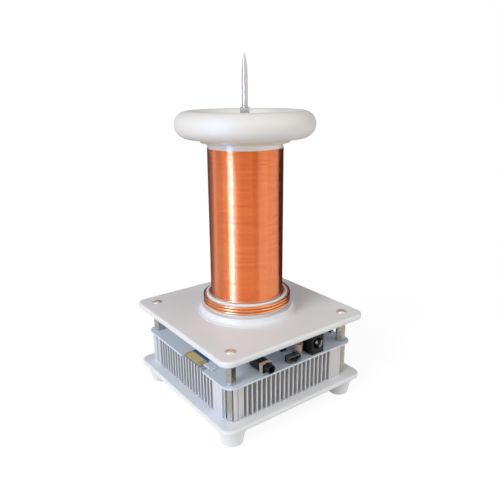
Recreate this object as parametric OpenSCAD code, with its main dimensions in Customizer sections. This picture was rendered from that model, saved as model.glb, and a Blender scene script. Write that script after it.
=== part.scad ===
// Desktop resonant transformer: a helical primary and a tall secondary coil with a toroid
// top load and a discharge needle, on a square driver base with finned aluminium sides.
// Millimetres, +Z up. The coil's axis is the Z axis and the feet stand on z = 0.
// The connectors face -Y.

/* [Plates] */
// Width of the square top and base plates
plate_w = 100; // [96:0.5:115]
// Corner radius of both plates
plate_corner_r = 6; // [5:0.5:9]
// Thickness of the top plate
top_plate_t = 3.5; // [3:0.1:5]
// Thickness of the base plate
base_plate_t = 3; // [2.5:0.1:5]
// Rounding of the top plate's edges
top_edge_r = 1.3; // [0.8:0.1:1.4]
// Rounding of the base plate's edges
base_edge_r = 1.2; // [0.8:0.1:1.2]
// Distance of each corner fixing from the plate's edges
fixing_inset = 10; // [9.6:0.2:11]
// Diameter of the hole for the leads in the middle of the top plate
lead_hole_d = 12; // [11:0.5:16]

/* [Feet] */
// Height of each foot below the base plate
foot_h = 10.8; // [10:0.2:14]
// Diameter of a foot at the floor, before its edge is rounded
foot_tip_d = 12.4; // [11.6:0.1:13]
// Diameter of a foot just under its fillet
foot_neck_d = 16.4; // [15:0.1:17.4]
// Radius of the fillet between a foot and the base plate
foot_fillet_r = 1.5; // [0.8:0.1:1.6]
// Rounding of the edge at the floor
foot_edge_r = 2; // [1:0.1:2.2]

/* [Standoffs and screws] */
// Width of the hexagonal standoffs across their flats
standoff_af = 5; // [4.8:0.1:5.2]
// Length of the standoffs between the base plate and the circuit board
lower_standoff_h = 20; // [19:0.5:25]
// Length of the standoffs between the circuit board and the top plate
upper_standoff_h = 15; // [14.5:0.5:20]
// Diameter of the screw threads and studs
thread_d = 3; // [2.9:0.05:3.1]
// Length of the stud under each upper standoff
stud_len = 6; // [5:0.5:8]
// Diameter of the pan heads
head_d = 5.4; // [5.2:0.1:5.8]
// Height of the pan heads
head_h = 1.9; // [1.4:0.1:2]
// Depth of the counterbores in the top plate
counterbore_depth = 2.4; // [2.1:0.1:2.5]
// Length of the screws in the top plate, under the head
top_screw_len = 6; // [5:0.5:8]
// Length of the screws in the base, under the head
base_screw_len = 10; // [9:0.5:12]

/* [Fin panels] */
// Depth of a fin panel, from its inner face to the tips of its fins
panel_depth = 9; // [8.5:0.1:9.5]
// Depth of the gaps between the fins
fin_depth = 6; // [5:0.1:6.4]
// Thickness of a fin
fin_t = 0.95; // [0.7:0.05:1.3]
// Distance from fin to fin
fin_pitch = 3.18; // [2.8:0.01:3.6]
// Wall of the hook round each lower standoff
hook_wall = 0.71; // [0.6:0.01:0.9]
// Distance from a fixing to the first fin of a panel
first_fin_inset = 7.85; // [7.4:0.05:9]
// Distance from the last fin of a panel to the next fixing
last_fin_inset = 11.55; // [10:0.05:13]
// Set-back of the smooth strip beside the hook
strip_setback = 1.2; // [0.4:0.1:1.6]

/* [Circuit board] */
// Distance from the top plate's edge to the board's edge
board_margin = 4.7; // [4.5:0.1:5.2]
// Thickness of the board
board_t = 1; // [0.8:0.1:1.6]
// Corner radius of the board
board_corner_r = 6; // [4:0.5:6.5]
// Length of the notch under the radio module's antenna
notch_len = 22; // [20:0.5:24]
// Depth of the notch
notch_depth = 4.8; // [4:0.1:7]

/* [Connectors] */
// Width of the power jack
dc_w = 9; // [8.5:0.1:10]
// Height of the power jack
dc_h = 11; // [10.5:0.1:12]
// Length of the power jack
dc_len = 14; // [12:0.5:15]
// Bore of the power jack
dc_bore_d = 6.4; // [6:0.1:6.6]
// Diameter of the power jack's pin
dc_pin_d = 2; // [1.9:0.1:2.5]
// Place of the power jack across the board
dc_x = 17.4; // [17:0.1:20]
// Width of the audio jack
audio_w = 6.2; // [6:0.1:7]
// Height of the audio jack
audio_h = 5; // [4.9:0.1:6]
// Length of the audio jack's body
audio_len = 12; // [11:0.5:14]
// Diameter of the audio jack's nose
audio_nose_d = 5.8; // [4.8:0.1:6]
// Bore of the audio jack
audio_bore_d = 3.6; // [3.5:0.05:3.8]
// Place of the audio jack across the board
audio_x = -18; // [-22:0.1:-16]
// Width of the mode switch
switch_w = 8.5; // [8:0.1:9]
// Depth of the mode switch, front to back
switch_depth = 4; // [3.8:0.1:5]
// Height of the mode switch
switch_h = 3.8; // [3.6:0.1:5]
// Place of the mode switch across the board
switch_x = 0.9; // [-3:0.1:1]
// Travel of the slider
slider_travel = 2; // [1.5:0.1:2.2]

/* [Primary coil] */
// Outer diameter of the former's flange
flange_d = 54.6; // [54:0.2:58]
// Height of the flange's top above the plate
flange_h = 3.8; // [3.4:0.1:5]
// Reach of the curved skirt beyond the flange
skirt_reach = 2.5; // [1:0.1:3.5]
// Outer diameter of the wall that carries the primary
former_wall_d = 48.4; // [48:0.1:49]
// Height of the former's rim above the plate
rim_h = 11.3; // [10.8:0.1:12]
// Diameter of the primary wire
primary_wire_d = 1.3; // [1.1:0.05:1.32]
// Rise of the primary from turn to turn
primary_pitch = 1.73; // [1.73:0.01:1.8]
// Whole turns of the primary
primary_turns = 3; // [2:1:3]

/* [Secondary coil] */
// Outer diameter of the secondary's tube
tube_d = 42; // [40:0.1:42.4]
// Wall of the tube
tube_wall = 2; // [1.5:0.1:3]
// Length of the tube
tube_len = 96.4; // [90:0.1:120]
// Thickness of the winding on the tube
winding_t = 0.3; // [0.2:0.05:0.5]
// Bare end of the tube above the winding
bare_top = 2.7; // [2:0.1:6]
// Gap between the former's rim and the winding
bare_bottom = 0.55; // [0.3:0.05:4]

/* [Top load] */
// Diameter of the cap's flange under the toroid
cap_d = 49.6; // [46:0.2:56]
// Thickness of the cap's flange
cap_t = 2.5; // [2:0.1:5]
// Depth of the cap's plug in the tube
plug_h = 6; // [5:0.5:10]
// Outer diameter of the toroid
toroid_d = 77.4; // [70:0.1:90]
// Thickness of the toroid's ring
ring_d = 14.4; // [12:0.1:16]
// Wall of the toroid's two shells and of the web across the lower one
toroid_wall = 0.8; // [0.7:0.1:1.5]
// Height of the hexagonal spacer under the needle
spacer_h = 15; // [13:0.5:20]
// Diameter of the needle
needle_d = 3; // [2.6:0.1:3.2]
// Length of the needle above the spacer
needle_len = 27.8; // [22:0.1:40]
// Length of the needle's point
point_len = 10.6; // [6:0.1:14]

/* [Hidden] */

$fn = 64;
// How far a cut runs past the face that it opens
over = 0.5;
// Gap beside parts that are seated but not pressed
seat_gap = 0.3;
// Gap round threads, pins and plugs
fit_gap = 0.05;
// Gap round the parts that slide
slide_gap = 0.15;

fixing = plate_w / 2 - fixing_inset;
base_z = foot_h;
floor_z = base_z + base_plate_t;
board_z = floor_z + lower_standoff_h;
deck_z = board_z + board_t;
under_z = deck_z + upper_standoff_h;
top_z = under_z + top_plate_t;

// Screws
counterbore_d = head_d + 2 * seat_gap;
// Height of a base screw's seat above the floor
base_seat_h = 8.8;
// Width, length and depth of a driver slot
slot_w = 0.8;
slot_len = 3;
slot_depth = 0.8;

// Fin panels
standoff_r = standoff_af / 2 / cos(30);
hook_bore_r = standoff_r + slide_gap;
hook_r = hook_bore_r + hook_wall;
face = fixing + hook_r;
inner_face = face - panel_depth;
first_fin = -fixing + first_fin_inset;
last_fin = fixing - last_fin_inset;
fin_count = floor((last_fin - first_fin) / fin_pitch) + 1;
// Width of the rib beside the hook
edge_rib_w = 0.8;
// Distance from a fixing to a panel's first rib and to its end
first_rib_inset = 2.2;
panel_end_inset = 3.3;
// Start and end of the hook's mouth, in degrees
mouth_start = 143;
mouth_end = 254;
mouth_step = (mouth_end - mouth_start) / 4;

// Power transistors
transistor_w = 10.2;
transistor_body_h = 9.2;
transistor_body_t = 4.4;
tab_h = 15.6;
tab_t = 1.3;
tab_hole_d = 3.4;
tab_hole_drop = 2.9;
pad_t = 0.3;
pad_edge = 0.8;
lead_w = 0.8;
lead_t = 0.5;
lead_pitch = 2.54;
lead_hole_w = 1.2;
// Height of the transistors above the base plate, and their places along the panel
transistor_lift = 0.5;
transistor_gap = 14;
transistor_places = [-transistor_gap, transistor_gap];
// Plane of the leads behind the pad
lead_back = 1.6;
small_head_d = 5;
small_head_h = 1.6;
// Depth of the transistor screws in the panel
screw_bite = 2.6;

// Board and what stands on it
board_half = plate_w / 2 - board_margin;
// Near end of the notch along the board's side
notch_near = -20.4;
module_len = 24;
module_w = 15.8;
module_t = 0.8;
module_near = -14.4;
// Gap between the module's antenna end and the board's edge line
module_inset = 0.7;
shield_w = 11;
shield_h = 2;
shield_inset = 1.6;
chip_w = 5;
chip_len = 6;
chip_h = 1.6;
chip_x = 3.6;
// Distance from the board's front edge to the chip's middle
chip_inset = 17.7;
chip_y = chip_inset - board_half;
diode_w = 2.8;
diode_len = 4.4;
diode_h = 2.2;
// Gap between the diode and the board's edge
diode_inset = 1.2;
// Distance from the right fixing to the diode's middle, along the board's side
diode_gap = 11.4;
diode_y = diode_gap - fixing;
reservoir_d = 10;
reservoir_h = 12.5;
reservoir_x = 26;
reservoir_y = 8;
reservoir_edge = 0.8;
film_w = 18;
film_depth = 7.5;
film_h = 11;
film_x = -20;
film_y = 24;
feedback_od = 16;
feedback_id = 8;
feedback_h = 6;
choke_d = 6;
choke_h = 6.2;
choke_post_d = 3;
choke_flange_t = 0.9;
choke_wire_d = 5.4;
// Distances from the power jack's side and from the board's front edge to the choke's middle
choke_gap = 3.9;
choke_inset = 8.7;
choke_x = dc_x - dc_w / 2 - choke_gap;
choke_y = choke_inset - board_half;
terminal_w = 17;
terminal_depth = 9;
terminal_h = 9.5;
well_depth = 3;

// Connectors: set-back of each front from the board's edge
dc_setback = 1.1;
audio_setback = 2.7;
switch_setback = 1.7;
dc_bore_depth = 9.5;
dc_bore_rise = 6.4;
dc_pin_stop = 0.8;
// Recess of the jack's face round the bore
dc_mouth_d = 7.4;
dc_mouth_depth = 0.5;
audio_nose_len = 3.7;
audio_rise = 3.05;
audio_bore_depth = 12;
collar_t = 0.3;
collar_len = 1.8;
collar_inset = 0.4;
shell_wall = 0.3;
switch_base_t = 1.1;
knob_w = 1.8;
knob_h = 1.5;
knob_reach = 2;
carriage_w = 3.8;
carriage_t = 1.7;
carriage_h = 2.8;

// Primary coil
flange_r = flange_d / 2;
wall_r = former_wall_d / 2;
flange_z = top_z + flange_h;
rim_z = top_z + rim_h;
socket_r = tube_d / 2 + seat_gap;
socket_floor_t = 2.2;
former_hole_d = 10;
rim_step = 0.8;
rim_step_w = 1.4;
// Height of the skirt's thin edge on the plate
skirt_base_h = 0.4;
// Gap from the wall to the turns, which bow in between their rings
turn_gap = 0.55;
turn_r = wall_r + turn_gap + primary_wire_d / 2;
turn_start = 60;
turn_extra = 20;
// Clear height between the flange and the first turn's start
turn_lift = 1.09;
bend_r = 1.05;
// Straight runs at the lower and upper ends of the primary
low_run = 1.4;
top_run = 2.4;
// Rings of the wire in each turn
loop_rings = 24;
turn_z = flange_z + turn_lift + primary_wire_d / 2;
turn_angle = 360 * primary_turns + turn_extra;
turn_top_z = turn_z + primary_pitch * turn_angle / 360;
turn_end = turn_start + turn_angle;
bend_deg = bend_r / turn_r * 180 / PI;
low_end_z = turn_z - bend_r - low_run;
top_end_r = turn_r - bend_r - top_run;
top_lead_r = turn_r - bend_r - top_run / 2;
top_lead_angle = turn_end + bend_deg;
lead_hole_gap = 0.3;
lead_hole_r = primary_wire_d / 2 + lead_hole_gap;
pocket_w = 4;
// The terminal's middle lies halfway between the two leads.
terminal_x = (turn_r * cos(turn_start) + top_lead_r * cos(top_lead_angle)) / 2;
terminal_y = (turn_r * sin(turn_start) + top_lead_r * sin(top_lead_angle)) / 2;
former_screw_r = 25.2;
former_screw_d = 2.5;
former_screw_bite = 2.7;
former_screw_angles = [0, 120, 240];

// Secondary coil
tube_z = top_z + socket_floor_t;
tube_top_z = tube_z + tube_len;
winding_z = rim_z + bare_bottom;
winding_top_z = tube_top_z - bare_top;
bore_r = tube_d / 2 - tube_wall;
lead_wire_d = 0.8;
// Rise of the ground lead above the winding's lower end
ground_rise = 2;
// Drop of the top lead below the cap's plug
top_lead_drop = 1.5;

// Top load
cap_top_z = tube_top_z + cap_t;
ring_r = ring_d / 2;
ring_centre_r = toroid_d / 2 - ring_r;
web_top_z = cap_top_z + toroid_wall;
spacer_top_z = web_top_z + spacer_h;
// Depth of the needle's shank and of the screw in the spacer
shank_len = 6;
spacer_screw_bite = 4.5;
screw_well_depth = 3;
screw_seat_z = tube_top_z - plug_h + screw_well_depth;
tip_r = 0.25;
cap_edge_r = 0.5;

// A square with true round corners, centred on the origin.
module rounded_square(w, r) {
    square([w, w - 2 * r], center = true);
    square([w - 2 * r, w], center = true);
    for (x = [-1, 1], y = [-1, 1]) translate([x * (w / 2 - r), y * (w / 2 - r)]) circle(r);
}

// A plate on z = 0 with round corners of radius r and edges rounded by e.
module soft_plate(w, r, t, e) {
    hull() for (a = [0:22.5:90]) translate([0, 0, e * (1 - sin(a))]) linear_extrude(t - 2 * e * (1 - sin(a)))
        rounded_square(w - 2 * e * (1 - cos(a)), r - e * (1 - cos(a)), $fn = 32);
}

// Puts its children at the four corner fixings.
module at_fixings() {
    for (x = [-1, 1], y = [-1, 1]) translate([x * fixing, y * fixing, 0]) children();
}

// A pan-head screw with a cross slot, seated at z = 0 with its shank pointing down.
module pan_screw(d, len, head_dia, head) {
    translate([0, 0, -len]) cylinder(h = len, d = d);
    difference() {
        cylinder(h = head, d1 = head_dia, d2 = head_dia - head);
        for (a = [0, 90]) rotate([0, 0, a]) translate([-slot_len / 2, -slot_w / 2, head - slot_depth])
            cube([slot_len, slot_w, slot_depth + over]);
    }
}

// One foot, standing on z = 0: a tapered body with a rounded edge and a fillet at its top.
module foot() {
    tip = foot_tip_d / 2;
    neck = foot_neck_d / 2;
    lift = foot_h - foot_fillet_r;
    edge = [for (a = [-90:22.5:0]) [tip - foot_edge_r * (1 - cos(a)), foot_edge_r * (1 + sin(a))]];
    fillet = [for (a = [180:-22.5:90]) [neck + foot_fillet_r * (1 + cos(a)), lift + foot_fillet_r * sin(a)]];
    rotate_extrude() polygon(concat([[0, 0]], edge, fillet, [[neck + foot_fillet_r, foot_h + foot_edge_r],
        [0, foot_h + foot_edge_r]]));
}

module base_plate() {
    color("whitesmoke") difference() {
        union() {
            translate([0, 0, base_z]) soft_plate(plate_w, plate_corner_r, base_plate_t, base_edge_r);
            at_fixings() foot();
        }
        at_fixings() {
            translate([0, 0, -over]) cylinder(h = floor_z + 2 * over, d = thread_d + 2 * slide_gap);
            translate([0, 0, -over]) cylinder(h = base_seat_h + over, d = counterbore_d);
        }
    }
}

module base_screws() {
    color("silver") at_fixings() translate([0, 0, base_seat_h]) rotate([180, 0, 0])
        pan_screw(thread_d, base_screw_len, head_d, head_h);
}

module lower_standoffs() {
    color("tan") at_fixings() translate([0, 0, floor_z]) difference() {
        cylinder(h = lower_standoff_h, r = standoff_r, $fn = 6);
        translate([0, 0, -over]) cylinder(h = lower_standoff_h + 2 * over, r = thread_d / 2 + fit_gap);
    }
}

module upper_standoffs() {
    color("tan") at_fixings() {
        translate([0, 0, deck_z]) difference() {
            cylinder(h = upper_standoff_h, r = standoff_r, $fn = 6);
            translate([0, 0, upper_standoff_h - top_screw_len])
                cylinder(h = top_screw_len + over, r = thread_d / 2 + fit_gap);
        }
        translate([0, 0, deck_z - stud_len]) cylinder(h = stud_len, d = thread_d);
    }
}

// Outline of a fin panel, which faces -Y: a hook round the standoff, a sunk strip with a rib,
// the fins and a smooth block, all on one back wall.
module panel_outline() {
    back = face - fin_depth;
    rib = -fixing + first_rib_inset;
    end = fixing - panel_end_inset;
    difference() {
        union() {
            translate([-fixing, -fixing]) circle(hook_r);
            translate([rib, -back]) square([end - rib, back - inner_face]);
            translate([rib, -face]) square([edge_rib_w, face - back]);
            translate([rib, strip_setback - face])
                square([first_fin - fin_t / 2 - fin_t - rib, face - strip_setback - back]);
            for (i = [0:fin_count - 1]) translate([first_fin + i * fin_pitch - fin_t / 2, -face])
                square([fin_t, face - back]);
            translate([first_fin + (fin_count - 1) * fin_pitch, -face])
                square([end - first_fin - (fin_count - 1) * fin_pitch, face - back]);
        }
        translate([-fixing, -fixing]) circle(hook_bore_r);
        translate([-fixing, -fixing])
            polygon([[0, 0], for (a = [mouth_start:mouth_step:mouth_end]) 2 * hook_r * [cos(a), sin(a)]]);
        translate([fixing, -fixing]) circle(hook_r + seat_gap);
        translate([inner_face - seat_gap, first_rib_inset - seat_gap - fixing])
            square([panel_depth, panel_depth]);
    }
}

module fin_panel(turn, holes) {
    rotate([0, 0, turn]) translate([0, 0, floor_z]) difference() {
        linear_extrude(lower_standoff_h) panel_outline();
        for (x = holes) translate([x, over - inner_face, transistor_lift + tab_hole_drop])
            rotate([90, 0, 0]) cylinder(h = screw_bite + over, r = thread_d / 2 + fit_gap);
    }
}

module front_fin_panel() { color("lightgray") fin_panel(0, []); }
module right_fin_panel() { color("lightgray") fin_panel(90, []); }
module back_fin_panel() { color("lightgray") fin_panel(180, transistor_places); }
module left_fin_panel() { color("lightgray") fin_panel(270, []); }

// Puts its children at each transistor, with the panel's inner face as y = 0 and -Y as outwards.
module at_transistors() {
    rotate([0, 0, 180]) for (x = transistor_places)
        translate([x, -inner_face, floor_z + transistor_lift]) children();
}

module power_transistors() {
    color("dimgray") at_transistors() translate([0, pad_t, 0]) {
        difference() {
            translate([-transistor_w / 2, 0, 0]) cube([transistor_w, tab_t, tab_h]);
            translate([0, -over, tab_hole_drop]) rotate([-90, 0, 0])
                cylinder(h = tab_t + 2 * over, d = tab_hole_d);
        }
        translate([-transistor_w / 2, 0, tab_h - transistor_body_h])
            cube([transistor_w, transistor_body_t, transistor_body_h]);
        for (i = [-1:1]) translate([i * lead_pitch - lead_w / 2, lead_back, tab_h])
            cube([lead_w, lead_t, lower_standoff_h + 2 * board_t - transistor_lift - tab_h]);
    }
}

module insulating_pads() {
    color("lightgrey") at_transistors() difference() {
        translate([-transistor_w / 2 - pad_edge, 0, 0]) cube([transistor_w + 2 * pad_edge, pad_t, tab_h]);
        translate([0, -over, tab_hole_drop]) rotate([-90, 0, 0])
            cylinder(h = pad_t + 2 * over, d = tab_hole_d);
    }
}

module transistor_screws() {
    color("silver") at_transistors() translate([0, pad_t + tab_t, tab_hole_drop]) rotate([-90, 0, 0])
        pan_screw(thread_d, pad_t + tab_t + screw_bite - slide_gap, small_head_d, small_head_h);
}

module circuit_board() {
    color("aliceblue") difference() {
        translate([0, 0, board_z]) linear_extrude(board_t) rounded_square(2 * board_half, board_corner_r);
        at_fixings() translate([0, 0, board_z - over])
            cylinder(h = board_t + 2 * over, d = thread_d + 2 * slide_gap);
        translate([-board_half - over, notch_near, board_z - over])
            cube([notch_depth + over, notch_len, board_t + 2 * over]);
        at_transistors() for (i = [-1:1])
            translate([i * lead_pitch, pad_t + lead_back + lead_t / 2,
                lower_standoff_h - transistor_lift - over])
                cylinder(h = board_t + 2 * over, d = lead_hole_w);
    }
}

module driver_chip() {
    color("black") translate([chip_x - chip_w / 2, chip_y - chip_len / 2, deck_z])
        cube([chip_w, chip_len, chip_h]);
}

module input_diode() {
    color("black") translate([board_half - diode_inset - diode_w, diode_y - diode_len / 2, deck_z])
        cube([diode_w, diode_len, diode_h]);
}

module reservoir_capacitor() {
    r = reservoir_d / 2;
    color("navy") translate([reservoir_x, reservoir_y, deck_z]) rotate_extrude()
        polygon([[0, 0], [r - reservoir_edge, 0], [r, reservoir_edge], [r, reservoir_h - reservoir_edge],
            [r - reservoir_edge, reservoir_h], [0, reservoir_h]]);
}

module film_capacitor() {
    color("firebrick") translate([film_x - film_w / 2, film_y - film_depth / 2, deck_z])
        cube([film_w, film_depth, film_h]);
}

module feedback_ring() {
    color("dimgray") translate([0, 0, deck_z]) difference() {
        cylinder(h = feedback_h, d = feedback_od);
        translate([0, 0, -over]) cylinder(h = feedback_h + 2 * over, d = feedback_id);
    }
}

module choke_core() {
    color("dimgray") translate([choke_x, choke_y, deck_z]) {
        cylinder(h = choke_h, d = choke_post_d);
        cylinder(h = choke_flange_t, d = choke_d);
        translate([0, 0, choke_h - choke_flange_t]) cylinder(h = choke_flange_t, d = choke_d);
    }
}

module choke_winding() {
    h = choke_h - 2 * choke_flange_t;
    color("rosybrown") translate([choke_x, choke_y, deck_z + choke_flange_t]) difference() {
        cylinder(h = h, d = choke_wire_d);
        translate([0, 0, -over]) cylinder(h = h + 2 * over, r = choke_post_d / 2 + fit_gap);
    }
}

module radio_module() {
    color("navy") translate([module_inset - board_half, module_near, deck_z])
        cube([module_len, module_w, module_t]);
}

module module_shield() {
    color("silver") translate([module_inset - board_half + module_len - shield_inset - shield_w,
        module_near + (module_w - shield_w) / 2, deck_z + module_t]) cube([shield_w, shield_w, shield_h]);
}

module audio_jack() {
    front = audio_setback - board_half;
    color("black") translate([audio_x, front, deck_z]) difference() {
        union() {
            translate([-audio_w / 2, 0, 0]) cube([audio_w, audio_len, audio_h]);
            translate([0, collar_inset / 2, audio_rise]) rotate([90, 0, 0])
                cylinder(h = audio_nose_len + collar_inset / 2, d = audio_nose_d);
        }
        translate([0, audio_bore_depth - audio_nose_len, audio_rise]) rotate([90, 0, 0])
            cylinder(h = audio_bore_depth + over, d = audio_bore_d);
    }
}

module audio_collar() {
    front = audio_setback - board_half;
    color("burlywood") translate([audio_x, front + collar_inset, deck_z]) difference() {
        translate([-audio_w / 2 - collar_t, 0, 0])
            cube([audio_w + 2 * collar_t, collar_len, audio_h + collar_t]);
        translate([-audio_w / 2, -over, -over]) cube([audio_w, collar_len + 2 * over, audio_h + over]);
    }
}

module switch_base() {
    back = switch_setback - board_half + switch_depth;
    color("black") translate([switch_x - switch_w / 2, back - switch_base_t, deck_z])
        cube([switch_w, switch_base_t, switch_h]);
}

module switch_shell() {
    depth = switch_depth - switch_base_t;
    window_w = knob_w + slider_travel + 2 * slide_gap;
    window_h = knob_h + 2 * slide_gap;
    color("gray") translate([switch_x, switch_setback - board_half, deck_z]) difference() {
        translate([-switch_w / 2, 0, 0]) cube([switch_w, depth, switch_h]);
        translate([shell_wall - switch_w / 2, shell_wall, shell_wall])
            cube([switch_w - 2 * shell_wall, depth, switch_h - 2 * shell_wall]);
        translate([-window_w / 2, -over, (switch_h - window_h) / 2])
            cube([window_w, shell_wall + 2 * over, window_h]);
    }
}

// The slider rests at the -X end of its travel.
module mode_slider() {
    rest_x = switch_x - slider_travel / 2;
    color("black") translate([rest_x, switch_setback - board_half, deck_z + switch_h / 2]) {
        translate([-carriage_w / 2, shell_wall + slide_gap, -carriage_h / 2])
            cube([carriage_w, carriage_t, carriage_h]);
        translate([-knob_w / 2, -knob_reach, -knob_h / 2])
            cube([knob_w, knob_reach + shell_wall + slide_gap + carriage_t / 2, knob_h]);
    }
}

module dc_jack() {
    color("black") translate([dc_x, dc_setback - board_half, deck_z]) difference() {
        translate([-dc_w / 2, 0, 0]) cube([dc_w, dc_len, dc_h]);
        translate([0, dc_bore_depth, dc_bore_rise]) rotate([90, 0, 0])
            cylinder(h = dc_bore_depth + over, d = dc_bore_d);
        translate([0, dc_mouth_depth, dc_bore_rise]) rotate([90, 0, 0])
            cylinder(h = dc_mouth_depth + over, d = dc_mouth_d);
    }
}

module dc_pin() {
    color("silver") translate([dc_x, dc_setback - board_half + dc_bore_depth, deck_z + dc_bore_rise])
        rotate([90, 0, 0]) cylinder(h = dc_bore_depth - dc_pin_stop, d = dc_pin_d);
}

// Puts its children at the primary's lower and upper leads.
module at_low_lead() { rotate([0, 0, turn_start]) translate([turn_r, 0, 0]) children(); }
module at_top_lead() { rotate([0, 0, top_lead_angle]) translate([top_lead_r, 0, 0]) children(); }
module at_leads() {
    at_low_lead() children();
    at_top_lead() children();
}

module primary_terminals() {
    color("seagreen") difference() {
        translate([terminal_x - terminal_w / 2, terminal_y - terminal_depth / 2, deck_z])
            cube([terminal_w, terminal_depth, terminal_h]);
        at_leads() translate([0, 0, deck_z + terminal_h - well_depth])
            cylinder(h = well_depth + over, r = lead_hole_r);
    }
}

module top_plate() {
    color("whitesmoke") difference() {
        translate([0, 0, under_z]) soft_plate(plate_w, plate_corner_r, top_plate_t, top_edge_r);
        at_fixings() {
            translate([0, 0, under_z - over])
                cylinder(h = top_plate_t + 2 * over, d = thread_d + 2 * slide_gap);
            translate([0, 0, top_z - counterbore_depth])
                cylinder(h = counterbore_depth + over, d = counterbore_d);
        }
        translate([0, 0, under_z - over]) cylinder(h = top_plate_t + 2 * over, d = lead_hole_d);
        at_leads() translate([0, 0, under_z - over]) cylinder(h = top_plate_t + 2 * over, r = lead_hole_r);
        at_former_screws() translate([0, 0, under_z - over])
            cylinder(h = top_plate_t + 2 * over, d = former_screw_d + 2 * slide_gap);
    }
}

module top_screws() {
    color("silver") at_fixings() translate([0, 0, top_z - counterbore_depth])
        pan_screw(thread_d, top_screw_len, head_d, head_h);
}

module at_former_screws() {
    for (a = former_screw_angles) rotate([0, 0, a]) translate([former_screw_r, 0, 0]) children();
}

// The former's section: a socket for the tube, the wall that carries the primary, and a flange
// whose skirt sweeps down to the top plate.
module primary_former() {
    skirt = [for (a = [270:-15:180]) [flange_r + skirt_reach * (1 + cos(a)),
        skirt_base_h + (flange_h - skirt_base_h) * (1 + sin(a))]];
    color("white") difference() {
        translate([0, 0, top_z]) rotate_extrude() polygon(concat([[former_hole_d / 2, 0],
            [flange_r + skirt_reach, 0]], skirt, [[flange_r, flange_h], [wall_r, flange_h],
            [wall_r, rim_h - rim_step], [wall_r - rim_step, rim_h], [socket_r + rim_step_w, rim_h],
            [socket_r + rim_step_w, rim_h - rim_step], [socket_r, rim_h - rim_step],
            [socket_r, socket_floor_t], [former_hole_d / 2, socket_floor_t]]));
        at_low_lead() translate([0, 0, top_z - over]) cylinder(h = flange_h + 2 * over, r = lead_hole_r);
        at_top_lead() translate([0, 0, top_z - over]) cylinder(h = rim_h + 2 * over, r = lead_hole_r);
        rotate([0, 0, top_lead_angle]) translate([socket_r - over, -pocket_w / 2, turn_top_z - lead_hole_r])
            cube([wall_r, pocket_w, rim_h]);
        at_former_screws() translate([0, 0, top_z - over])
            cylinder(h = former_screw_bite + over, r = former_screw_d / 2 + fit_gap);
    }
}

module former_screws() {
    color("silver") at_former_screws() translate([0, 0, under_z]) rotate([180, 0, 0])
        pan_screw(former_screw_d, top_plate_t + former_screw_bite - slide_gap, small_head_d, small_head_h);
}

// Path of the primary wire: up out of the flange, a bend, the turns, a bend and in to the wall.
primary_path = concat(
    [[turn_r * cos(turn_start), turn_r * sin(turn_start), low_end_z]],
    [for (s = [0:30:60]) let (a = turn_start + bend_deg * (1 - cos(s)))
        [turn_r * cos(a), turn_r * sin(a), turn_z - bend_r + bend_r * sin(s)]],
    [for (i = [0:ceil(loop_rings * turn_angle / 360)]) let (
        t = min(i / loop_rings * 360, turn_angle - bend_deg) + bend_deg, a = turn_start + min(t, turn_angle))
        [turn_r * cos(a), turn_r * sin(a), turn_z + primary_pitch * min(t, turn_angle) / 360]],
    [for (s = [30:30:90]) let (r = turn_r - bend_r * (1 - cos(s)), a = turn_end + bend_deg * sin(s))
        [r * cos(a), r * sin(a), turn_top_z]],
    [[top_end_r * cos(top_lead_angle), top_end_r * sin(top_lead_angle), turn_top_z]]);

function unit(v) = v / norm(v);

// A tube along a path, in triangles: each ring lies square to the path, with its first point
// turned towards the given direction.
module tube(path, r, sides, ref) {
    n = len(path);
    points = [for (i = [0:n - 1]) let (
        t = unit(path[min(i + 1, n - 1)] - path[max(i - 1, 0)]),
        u = unit(cross(t, ref[i])), v = cross(t, u))
        for (k = [0:sides - 1]) path[i] + r * (cos(360 * k / sides) * u + sin(360 * k / sides) * v)];
    sides_faces = [for (i = [0:n - 2], k = [0:sides - 1]) let (
        a = i * sides + k, b = i * sides + (k + 1) % sides, c = b + sides, d = a + sides)
        each [[a, b, c], [a, c, d]]];
    last = (n - 1) * sides;
    caps = [for (k = [1:sides - 2]) each [[0, k + 1, k], [last, last + k, last + k + 1]]];
    polyhedron(points = points, faces = concat(sides_faces, caps));
}

primary_refs = [for (p = primary_path) unit([p[0], p[1], turn_r])];
// A quarter of a turn apart, so that no point is set against its own neighbours.
least_gap = min([for (i = [0:len(primary_path) - 1], j = [i + loop_rings / 4:1:len(primary_path) - 1])
    norm(primary_path[i] - primary_path[j])]) - primary_wire_d;
echo(least_gap_of_the_primary = least_gap);

module primary_winding() {
    color("chocolate") tube(primary_path, primary_wire_d / 2, 6, primary_refs);
}

module primary_leads() {
    bottom = deck_z + terminal_h - well_depth;
    color("chocolate") {
        at_low_lead() translate([0, 0, bottom]) cylinder(h = low_end_z - bottom, d = primary_wire_d);
        at_top_lead() translate([0, 0, bottom])
            cylinder(h = turn_top_z - primary_wire_d / 2 - seat_gap - bottom, d = primary_wire_d);
    }
}

module secondary_tube() {
    color("white") translate([0, 0, tube_z]) difference() {
        cylinder(h = tube_len, d = tube_d);
        translate([0, 0, -over]) cylinder(h = tube_len + 2 * over, r = bore_r);
    }
}

module secondary_winding() {
    color("darkorange") translate([0, 0, winding_z]) difference() {
        cylinder(h = winding_top_z - winding_z, d = tube_d + 2 * winding_t);
        translate([0, 0, -over]) cylinder(h = winding_top_z - winding_z + 2 * over, r = tube_d / 2 + fit_gap);
    }
}

// A lead from the tube's inner wall to the axis at height z, and along the axis to z + run.
module inner_lead(z, run) {
    translate([0, 0, z]) {
        rotate([0, 90, 0]) cylinder(h = bore_r - fit_gap, d = lead_wire_d);
        sphere(d = lead_wire_d);
        translate([0, 0, min(run, 0)]) cylinder(h = abs(run), d = lead_wire_d);
    }
}

// The earthed end of the secondary goes down the axis, through the feedback ring, to the board.
module ground_lead() {
    z = winding_z + ground_rise;
    color("darkorange") inner_lead(z, deck_z - z);
}

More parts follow.
